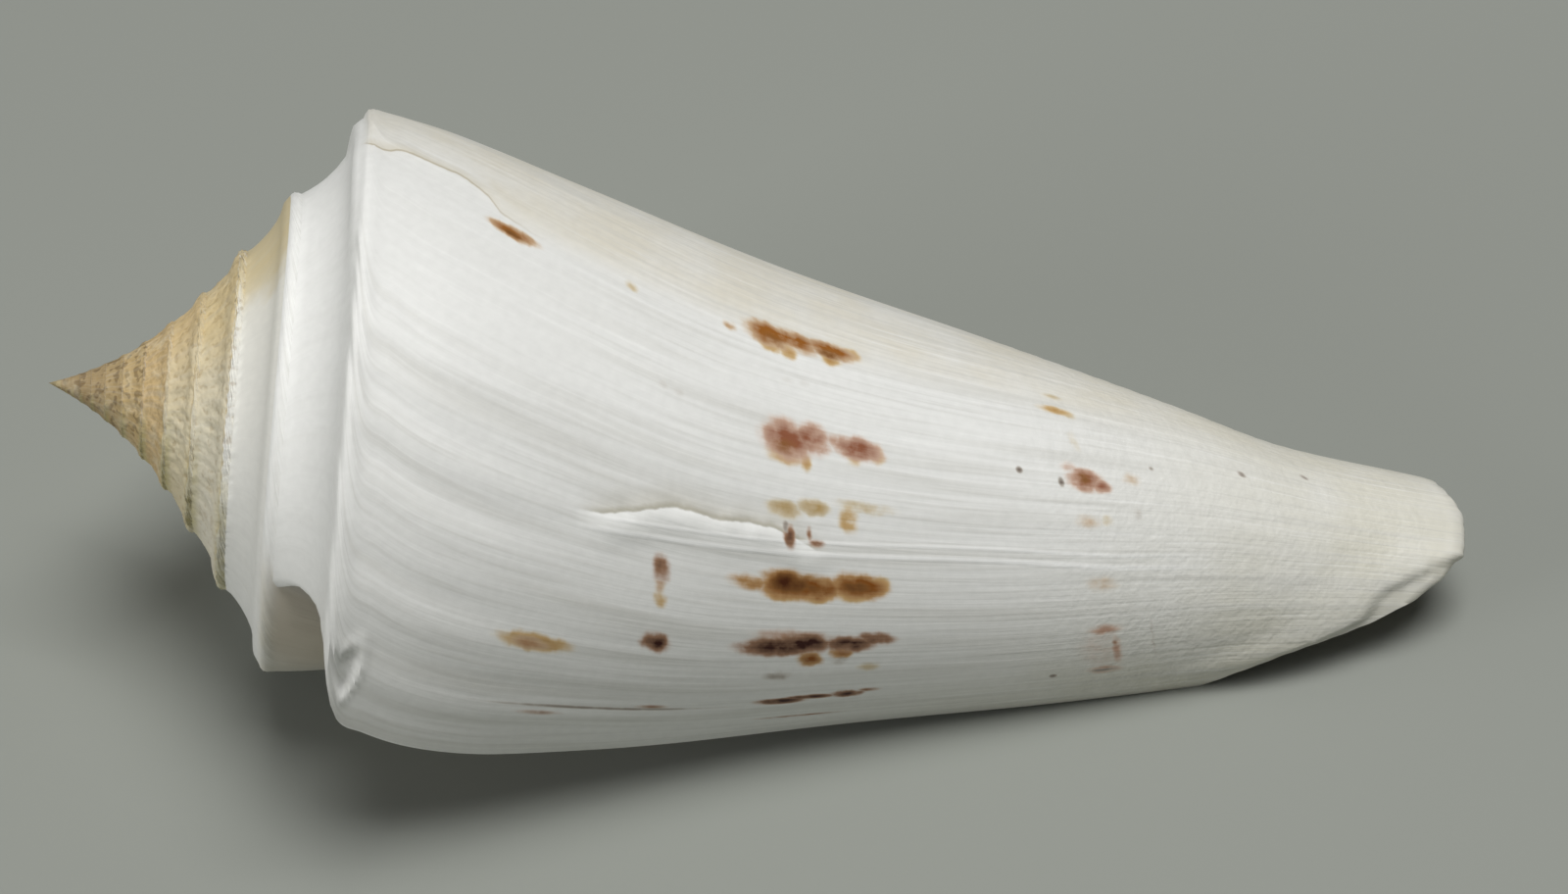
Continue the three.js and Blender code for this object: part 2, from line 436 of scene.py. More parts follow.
        sunk = (1 - smooth(reach, *self.pit_wall)) * blend(self.pit_shallow, 1.0, far_side)
        rim = np.exp(-(((reach - self.pit_rim_reach) / self.pit_rim_width) ** 2)) * far_side
        height = height - self.pit_depth * sunk + self.pit_rim * rim
        corded = within(drop, self.cord_drops) * (1 - smooth(turn, *self.cord_end_turns))
        height = height + self.cord_height * corded * np.cos(2 * math.pi * drop / self.cord_spacing)
        return height * size

    def worn(self, points: np.ndarray, turn: np.ndarray, coil: Coil) -> np.ndarray:
        """Gives the roughness of the worn spire.

        Args:
            points: Points in the shell's own frame, in mm.
            turn: Their age, in turns.
            coil: The winding of the shell.

        Returns:
            Heights in mm.
        """
        flat = points.reshape(-1, 3)
        turn = np.broadcast_to(turn, points.shape[:-1])
        old = within(turn, self.rough_turns).ravel()
        (coarse, fine), (more, most) = self.rough_scales, self.rough_shares
        rough = np.zeros(len(flat))
        for k in np.nonzero(old > 0.01)[0]:
            near = Vector(flat[k])
            rough[k] = old[k] * (more * noise.noise(near * coarse) + most * noise.noise(near * fine))
        grown = np.minimum(1.0, self.rough_growth * coil.size(turn))
        return self.spire_roughness * rough.reshape(turn.shape) * grown


@dataclass(frozen=True)
class Zones:
    """Where each part of the finish shows: limits in turns, and in mm of drop or of distance.

    Attributes:
        coil: The winding of the shell.
        relief: What stands proud of it.
    """

    PLACES_PER_TURN: ClassVar[float] = 100.0
    NAMES: ClassVar[tuple[str, ...]] = (
        "age", "scar", "seam", "former_lip", "oldest", "spire", "suture", "cream", "front", "lined", "side",
        "scarred", "seamed", "lipped", "beaded", "under", "inside", "deep",
    )

    coil: Coil
    relief: Relief
    ledge_drops: tuple[float, float] = (0.0, 0.3)
    side_drops: tuple[float, float] = (-0.2, 0.6)
    side_turns: tuple[float, float] = (-1.04, -1.0)
    suture_below: tuple[float, float] = (-0.9, 0.9)
    suture_above: tuple[float, float] = (-4.9, -3.7)
    stain_turn: float = 1.87
    stain_spread: tuple[float, float] = (0.1, 0.9)
    stain_turns: tuple[float, float] = (-1.7, -1.5)
    oldest_turns: tuple[float, float] = (-5.6, -3.2)
    spire_turns: tuple[float, float] = (-2.4, -1.2)
    cream_edge: tuple[float, float] = (-1.6, 0.8)
    front_edge: tuple[float, float] = (1, 26)
    ramp_lines: float = 0.25
    lined_drops: tuple[float, float] = (-0.5, 1.5)
    scarred_drops: tuple[float, float, float, float] = (13, 15, 25.5, 27.5)
    seamed_drops: tuple[float, float, float, float] = (12, 16, 40, 52)
    lipped_drops: tuple[float, float] = (6, 12)
    beaded_drops: tuple[float, float] = (34, 46)
    bead_edge: tuple[float, float] = (0.5, 3)
    # Under the notch the side of the turn before is coloured beige-grey: partly its real stain, partly
    # painted shade.
    under_turns: tuple[float, float, float, float] = (-1.05, -1.03, -0.98, -0.9)
    under_drops: tuple[float, float] = (0.6, 2.2)
    # Deeper than this into the opening, the inside turns darker beige: painted shade.
    deep_turns: tuple[float, float] = (-0.2, -0.02)

    def at(self, growth: np.ndarray) -> dict[str, np.ndarray]:
        """Gives the age, the distances past the lines of growth in mm, and the shares of the zones.

        Args:
            growth: Turn, drop and how far inside the opening, along the last axis.

        Returns:
            Values by name, in the order of NAMES.
        """
        turn, drop, inner = np.moveaxis(growth, -1, 0)
        scar, seam, former_lip, _ = self.relief.lines(self.coil, turn, np.maximum(drop, 0))
        from_front = (self.coil.longest(turn) - drop) * self.coil.size(turn)
        ledge = smooth(drop, *self.ledge_drops) * self.coil.suture_back()
        side = smooth(drop, *self.side_drops) * smooth(turn, *self.side_turns) * (1 - inner)
        near_suture = np.maximum(smooth(drop, *self.suture_below), 1 - smooth(drop, *self.suture_above))
        lowest = smooth(np.cos(2 * math.pi * (turn + self.stain_turn)), *self.stain_spread)
        values = (
            turn + ledge, scar, seam, former_lip,
            1 - smooth(turn, *self.oldest_turns),
            1 - smooth(turn, *self.spire_turns),
            near_suture * lowest * (1 - smooth(turn, *self.stain_turns)),
            (1 - smooth(former_lip, *self.cream_edge)) * side,
            (1 - smooth(from_front, *self.front_edge)) * side,
            blend(self.ramp_lines, 1.0, smooth(drop, *self.lined_drops)) * self.relief.even(turn, drop),
            side,
            within(drop, self.scarred_drops) * side,
            within(drop, self.seamed_drops) * side,
            (1 - smooth(drop, *self.lipped_drops)) * side,
            smooth(drop, *self.beaded_drops) * smooth(from_front, *self.bead_edge) * side,
            # the side under the notch, coloured partly by real stain and partly by painted shade
            within(turn, self.under_turns) * smooth(drop, *self.under_drops),
            inner,
            # deeper in the opening: painted shade
            inner * (1 - smooth(turn, *self.deep_turns)),
        )
        return dict(zip(self.NAMES, values))


@dataclass
class Sheet:
    """One grid of the shell's surface.

    Attributes:
        points: Rows by columns of points in the shell's own frame, in mm.
        growth: Rows by columns of turn, drop and how far inside the opening they lie, 0 to 1.
    """

    points: np.ndarray
    growth: np.ndarray

    def built(self, name: str, coil: Coil, zones: Zones) -> bpy.types.Object:
        """Adds a grid, lays its vertices on the sheet and notes on them what the finish reads.

        Args:
            name: Name of the new object.
            coil: The winding of the shell.
            zones: Where each part of the finish shows.

        Returns:
            The new object.
        """
        rows, columns = self.points.shape[:2]
        bpy.ops.object.select_all(action="DESELECT")
        bpy.ops.mesh.primitive_grid_add(
            x_subdivisions=columns - 1, y_subdivisions=rows - 1, size=1.0, calc_uvs=False, location=(0, 0, 0)
        )
        piece = bpy.context.object
        piece.name = name
        mesh = piece.data
        flat = np.empty(len(mesh.vertices) * 3)
        mesh.vertices.foreach_get("co", flat)
        flat = flat.reshape(-1, 3)
        column = np.rint((flat[:, 0] + 0.5) * (columns - 1)).astype(int)
        row = np.rint((flat[:, 1] + 0.5) * (rows - 1)).astype(int)
        mesh.vertices.foreach_set("co", coil.placed(self.points[row, column]).ravel())
        corner = np.empty(len(mesh.loops), dtype=np.int32)
        mesh.loops.foreach_get("vertex_index", corner)
        turn, drop = self.growth[..., 0], self.growth[..., 1]
        place = np.stack([drop, turn * zones.PLACES_PER_TURN, np.zeros(turn.shape)], axis=-1)
        layer = mesh.attributes.new("place", "FLOAT_VECTOR", "CORNER")
        layer.data.foreach_set("vector", place[row, column][corner].astype(np.float32).ravel())
        for kind, values in zones.at(self.growth).items():
            layer = mesh.attributes.new(kind, "FLOAT", "CORNER")
            layer.data.foreach_set("value", values[row, column][corner].astype(np.float32))
        mesh.update()
        return piece


@dataclass
class ConeShell:
    """The shell as one closed skin: the outside from the tip to the lip, and the inside of the opening."""

    coil: Coil
    relief: Relief
    columns_per_turn: int = 240
    oldest_turn: float = -12.0
    opening_turns: float = 0.6
    hidden_step: int = 4
    ramp_shares: tuple[float, ...] = (0, 0.1, 0.2, 0.3, 0.45, 0.6, 0.75, 0.88, 0.95, 1.0)
    ledge_drops: tuple[float, ...] = (0.25, 0.6, 1.0, 1.4)
    edge_drops: tuple[float, ...] = (1.5, 1.6, 1.7, 1.8)
    body_rows: int = 160
    crowding: float = 0.3
    lip_crowding: float = 0.5
    ramp_span: float = 5.0
    merge_gap: float = 2e-7
    crease_angle: float = 55.0

    def __post_init__(self) -> None:
        """Works out the rows and columns that the sheets share."""
        self.back = self.columns_per_turn + round(self.columns_per_turn * (self.coil.suture_back() - 1))
        self.lip = round(-self.oldest_turn * self.columns_per_turn)
        self.deep = self.lip - round(self.opening_turns * self.columns_per_turn)
        self.innermost = self.deep - self.back
        self.ramp_rows = len(self.ramp_shares)
        self.suture_row = self.ramp_rows + len(self.ledge_drops) - 1
        self.edge_row = self.suture_row + len(self.edge_drops)
        self.last_row = self.edge_row + self.body_rows

    def turns(self, columns: np.ndarray) -> np.ndarray:
        """Gives the age of columns, in turns. They crowd near the lip, and again one turn before it."""
        steps = np.asarray(columns) - self.lip
        wave = self.back / (2 * math.pi) * np.sin(2 * math.pi * steps / self.back)
        return (steps - self.lip_crowding * wave) / self.columns_per_turn

    def drops(self, turn: np.ndarray) -> np.ndarray:
        """Gives the drop of each row from the shoulder to the front edge, rows by columns."""
        near = np.array((0.0, *self.ledge_drops, *self.edge_drops))
        share = np.arange(1, self.body_rows + 1) / self.body_rows
        share = (share * blend(1.0, share, self.crowding))[:, None]
        far = blend(self.edge_drops[-1], self.coil.longest(turn)[None, :], share)
        return np.vstack([np.repeat(near[:, None], len(turn), axis=1), far])

    def side(self, turn: np.ndarray, drop: np.ndarray) -> np.ndarray:
        """Gives points of the side with its relief."""
        smooth_points = self.coil.side(turn, drop)
        height = self.relief.height(self.coil, turn, drop) + self.relief.worn(smooth_points, turn, self.coil)
        return smooth_points + height[..., None] * self.coil.outward("side", turn, drop, 0.05)

    def ramp(self, turn: np.ndarray, share: np.ndarray) -> np.ndarray:
        """Gives points of the ramp with its relief, which fades at the suture and the shoulder."""
        smooth_points = self.coil.ramp(turn, share)
        near = share ** 3 * self.relief.shoulder_share
        grown = self.relief.uneven(turn) + self.relief.folded(turn, np.zeros(1))
        height = self.coil.size(turn) * grown * near
        height = height + self.relief.worn(smooth_points, turn, self.coil) * 4 * share * (1 - share)
        return smooth_points + height[..., None] * self.coil.outward("ramp", turn, share, 0.02)

    def outside(self, columns: np.ndarray) -> tuple[np.ndarray, np.ndarray]:
        """Gives the outside from suture to front edge.

        Args:
            columns: Columns to lay out.

        Returns:
            Points and growth, rows by columns.
        """
        turn = self.turns(columns)
        shares = np.array(self.ramp_shares[1:-1])[:, None]
        suture_drops = np.full((1, len(turn)), self.coil.suture_drop)
        suture = self.side(turn[None, :] - self.coil.suture_back(), suture_drops)
        drop = self.drops(turn)
        grid = np.broadcast_to(turn, drop.shape)
        points = np.concatenate([suture, self.ramp(turn[None, :], shares), self.side(grid, drop)])
        ramp_drop = -self.ramp_span * (1 - np.array(self.ramp_shares[:-1]))[:, None]
        all_drop = np.vstack([np.repeat(ramp_drop, len(turn), axis=1), drop])
        all_turn = np.broadcast_to(turn, all_drop.shape)
        return points, np.stack([all_turn, all_drop, np.zeros(all_drop.shape)], axis=-1)

    def inside(self, columns: np.ndarray) -> np.ndarray:
        """Gives the inside of the opening, rows by columns, on the same rows as the outside."""
        turn = self.turns(columns)[None, :]
        thinned = smooth(turn, -self.coil.thinning_turns, 0)[..., None]
        thick = blend(self.coil.wall, self.coil.lip_edge, thinned)
        thin = blend(self.coil.wall, self.coil.notch_edge, thinned)
        drop = self.drops(turn[0])[len(self.ledge_drops) + len(self.edge_drops):]
        wide = np.broadcast_to(turn, drop.shape)
        wall = self.coil.side(wide, drop) - thick * self.coil.outward("side", wide, drop, 0.3)
        join = self.side(turn - self.coil.suture_back(), np.full(turn.shape, self.edge_drops[-1]))
        ramp = [self.coil.ramp(turn, s) - thin * self.coil.outward("ramp", turn, s, 0.1) for s in (0.3, 0.65)]
        above = self.coil.outward("ramp", turn, 0.8, 0.05)
        corner_way = unit(above + self.coil.outward("side", turn, 1.5, 0.3))
        corner = self.coil.side(turn, 0.0) - 1.3 * thick * corner_way
        knots = np.concatenate([join, *ramp, corner, wall[:1]])
        span = self.edge_drops[-1]
        rows = [np.interp(s, (0, 0.3, 0.65, 1), (0, 1, 2, 3)) for s in self.ramp_shares]
        rows += [3 + d / span for d in (*self.ledge_drops, *self.edge_drops[:-1])]
        whole = np.minimum(np.floor(rows).astype(int), 3)
        share = (np.array(rows) - whole)[:, None, None]
        return np.concatenate([blend(knots[whole], knots[whole + 1], share), wall])

    def rim(self, start: np.ndarray, end: np.ndarray, way: np.ndarray, bulge: np.ndarray) -> np.ndarray:
        """Gives a rounded edge from the outside to the inside.

        Args:
            start: Points of the outer edge.
            end: Points of the inner edge.
            way: Direction in which the edge bulges.
            bulge: Share of the full bulge at each point, 0 to 1.

        Returns:
            Points of the edge, one step to a row.
        """
        steps = np.linspace(0, 1, len(self.edge_drops) + 1)[:, None, None]
        thick = np.linalg.norm(end - start, axis=-1, keepdims=True)
        return blend(start, end, steps) + 0.42 * thick * np.sin(math.pi * steps) * way * bulge[:, None]

    def sheets(self) -> dict[str, Sheet]:
        """Lays out every sheet of the skin.

        Returns:
            The sheets by name. Sheets that meet share their edge points.
        """
        coil, k = self.coil, len(self.edge_drops)
        tip_to_lip, growth = self.outside(np.arange(self.lip + 1))
        last = slice(self.lip - self.back, None)
        hidden = np.arange(self.innermost, self.lip - self.back + 1, self.hidden_step)
        open_columns = np.arange(self.deep, self.lip + 1)
        coarse = open_columns[::self.hidden_step]
        inside = self.inside(coarse)
        made = {
            "spire": (tip_to_lip[: self.suture_row + 1], growth[: self.suture_row + 1]),
            "last_turn": (tip_to_lip[self.suture_row:, last], growth[self.suture_row:, last]),
        }
        facing_growth = growth[self.edge_row:, hidden].copy()
        # The side of the turn before that faces into the opening takes the inside's colours, with the painted
        # shade of the deep inside.
        facing_growth[..., 2] = 1 - smooth(facing_growth[..., 0], -1.06, -1.034)
        made["facing_side"] = (tip_to_lip[self.edge_row:, hidden], facing_growth)
        inside_growth = growth[:, coarse].copy()
        inside_growth[..., 2] = 1
        made["inside"] = (inside, inside_growth)

        forward = unit(tip_to_lip[:, self.lip] - tip_to_lip[:, self.lip - 1])
        row = np.arange(self.last_row + 1)
        corner = forward[-1] + unit(tip_to_lip[-1, self.lip] - tip_to_lip[-2, self.lip])
        turned = smooth(row, self.last_row - 4, self.last_row)[:, None]
        lip_way = unit(blend(forward, unit(corner), turned))
        lip_rim = self.rim(tip_to_lip[:, self.lip], inside[:, -1], lip_way, smooth(row, 0, 3))
        lip_rim[:, 0] = tip_to_lip[self.suture_row: self.edge_row + 1, self.lip - self.back]
        lip_growth = np.repeat(growth[None, :, self.lip], k + 1, axis=0).copy()
        made["lip_rim"] = (lip_rim, lip_growth)

        down = unit(tip_to_lip[-1, open_columns] - tip_to_lip[-2, open_columns])
        turned = smooth(open_columns, self.lip - 4, self.lip)[:, None]
        front_way = unit(blend(down, unit(corner), turned))
        nearest = np.rint((open_columns - self.deep) / self.hidden_step).astype(int)
        fine_inside = np.stack([
            np.interp(open_columns, coarse, inside[-1, :, axis]) for axis in range(3)
        ], axis=-1)
        front_rim = self.rim(tip_to_lip[-1, open_columns], fine_inside, front_way, np.ones(len(open_columns)))
        front_rim[-1] = inside[-1, nearest]
        front_rim[:, -1] = lip_rim[:, -1]
        front_growth = np.repeat(growth[None, -1, open_columns], k + 1, axis=0).copy()
        made["front_rim"] = (front_rim, front_growth)

        partner = tip_to_lip[np.maximum(row, self.edge_row), self.innermost]
        made["back_of_opening"] = (np.stack([inside[:, 0], partner]), np.stack([inside_growth[:, 0]] * 2))

        pillar = np.concatenate([
            tip_to_lip[-1, hidden], tip_to_lip[-1, self.lip - self.back + 1: self.deep], front_rim[:, 0],
            tip_to_lip[-1, self.innermost: self.innermost + 1],
        ])
        end = np.array([coil.pillar_end, 0.0, 0.0])
        ring = blend(pillar, end, 0.45) + np.array([0.25, 0.0, 0.0])
        pillar_growth = np.tile(np.array([-0.7, 66.0, 0.3]), (3, len(pillar), 1))
        made["pillar_end"] = (np.stack([pillar, ring, np.broadcast_to(end, pillar.shape)]), pillar_growth)

        loop = np.concatenate([tip_to_lip[0, : self.back + 1], tip_to_lip[self.suture_row - 1:: -1, 0]])
        tip_growth = np.tile(np.array([self.oldest_turn, 0.0, 0.0]), (2, len(loop), 1))
        made["tip"] = (np.stack([loop, np.zeros(loop.shape)]), tip_growth)
        return {name: Sheet(*parts) for name, parts in made.items()}

    def build(self) -> bpy.types.Object:
        """Builds the skin and closes it.

        Returns:
            The finished piece, unturned at the origin.
        """
        zones = Zones(self.coil, self.relief)
        pieces = [sheet.built(name, self.coil, zones) for name, sheet in self.sheets().items()]
        bpy.ops.object.select_all(action="DESELECT")
        for piece in pieces:
            piece.select_set(True)
        bpy.context.view_layer.objects.active = pieces[0]
        bpy.ops.object.join()
        shell = bpy.context.object
        shell.name = "weathered_shell"
        shell.data.name = "weathered_shell"
        bpy.ops.object.mode_set(mode="EDIT")
        bpy.ops.mesh.select_all(action="SELECT")
        bpy.ops.mesh.remove_doubles(threshold=self.merge_gap)
        bpy.ops.mesh.normals_make_consistent(inside=False)
        bpy.ops.object.mode_set(mode="OBJECT")
        bpy.ops.object.shade_smooth_by_angle(angle=math.radians(self.crease_angle))
        return shell

    @staticmethod
    def open_edges(shell: bpy.types.Object) -> int:
        """Counts edges that don't join exactly two faces."""
        uses = np.zeros(len(shell.data.edges), dtype=int)
        edge = np.empty(len(shell.data.loops), dtype=np.int32)
        shell.data.loops.foreach_get("edge_index", edge)
        np.add.at(uses, edge, 1)
        return int((uses != 2).sum())


def linear(colour: str) -> tuple[float, float, float, float]:
    """Turns an sRGB hex colour to linear.

    Args:
        colour: Six hex digits after a hash sign.

    Returns:
        Red, green, blue and full alpha.
    """
    parts = [int(colour[k: k + 2], 16) / 255 for k in (1, 3, 5)]
    return (*((c / 12.92 if c <= 0.04045 else ((c + 0.055) / 1.055) ** 2.4) for c in parts), 1.0)


def add(
    tree: bpy.types.NodeTree, kind: str, inputs: dict | None = None, **settings: object
) -> bpy.types.Node:
    """Adds a node.

    Args:
        tree: The material's nodes.
        kind: Type name of the node.
        inputs: A value, or a socket or node to link, for each input by name or number.
        settings: Properties of the node.

    Returns:
        The new node.
    """
    node = tree.nodes.new(kind)
    for name, value in settings.items():
        setattr(node, name, value)
    for key, value in (inputs or {}).items():
        if isinstance(value, bpy.types.Node):
            value = value.outputs[0]
        if isinstance(value, bpy.types.NodeSocket):
            tree.links.new(value, node.inputs[key])
        else:
            node.inputs[key].default_value = value
    return node


def set_stops(ramp: bpy.types.Node, stops: tuple[tuple[float, str], ...]) -> None:
    """Sets a colour ramp's stops.

    Args:
        ramp: The colour ramp's node.
        stops: Places from 0 to 1, rising, each with its hex colour.
    """
    elements = ramp.color_ramp.elements
    while len(elements) < len(stops):
        elements.new(1.0)
    for element, (place, colour) in zip(elements, stops):
        element.position = place
        element.color = linear(colour)


class Tint(Enum):
    """Colours of a marking, at its edge and at its core. Later ones lie over earlier ones."""

    TAN = ("#e2d9c2", "#b79a66")
    GOLD = ("#e0c99c", "#a8752a")
    OCHRE = ("#dec8a8", "#965c20")
    ORANGE = ("#d6b07c", "#84490c")
    RED = ("#dfc3ae", "#8f563a")
    UMBER = ("#9a6a38", "#4a2208")
    DARK = ("#c49a7a", "#360d01")
    GREY = ("#cdc6bb", "#6f6259")


@dataclass(frozen=True)
class Marking:
    """A blotch of colour in the shell.

    Attributes:
        turn: Age of its middle.
        drop: Distance of its middle below the shoulder, in mm.
        half_length: Half length along a growth line, in mm.
        half_width: Half width across growth lines, in mm.
        tint: Its colour.
        strength: How strongly it shows, 0 to 1.
    """

    turn: float
    drop: float
    half_length: float
    half_width: float
    tint: Tint
    strength: float = 1.0


